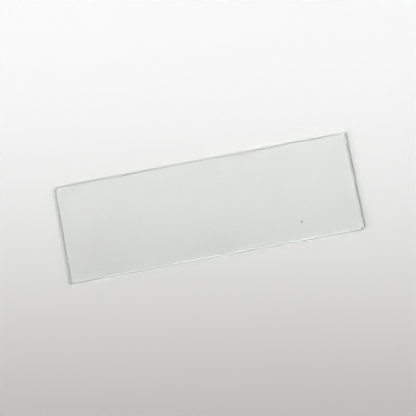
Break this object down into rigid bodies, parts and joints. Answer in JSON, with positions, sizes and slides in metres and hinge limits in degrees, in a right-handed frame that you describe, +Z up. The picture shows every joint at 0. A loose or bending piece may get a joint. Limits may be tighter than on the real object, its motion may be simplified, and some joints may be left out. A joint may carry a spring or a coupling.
{
  "type": "microscope slide",
  "caption": "Flat rectangular plate of clear glass with ground, seamed edges and small rounded corners, which carries a specimen under a microscope.",
  "frame": {"origin": "middle of the underside, which is the face that lies on the stage", "axes": "+X along the length, +Y across the width towards the back, +Z up through the thickness"},
  "size_m": [0.0762, 0.0254, 0.0011],
  "materials": {
    "clear_float_glass": "polished flat faces, finely ground matt edges, clear with a faint green tint seen along the edge"
  },
  "bodies": {
    "root": {"glass_slide": "clear_float_glass"}
  },
  "joints": []
}
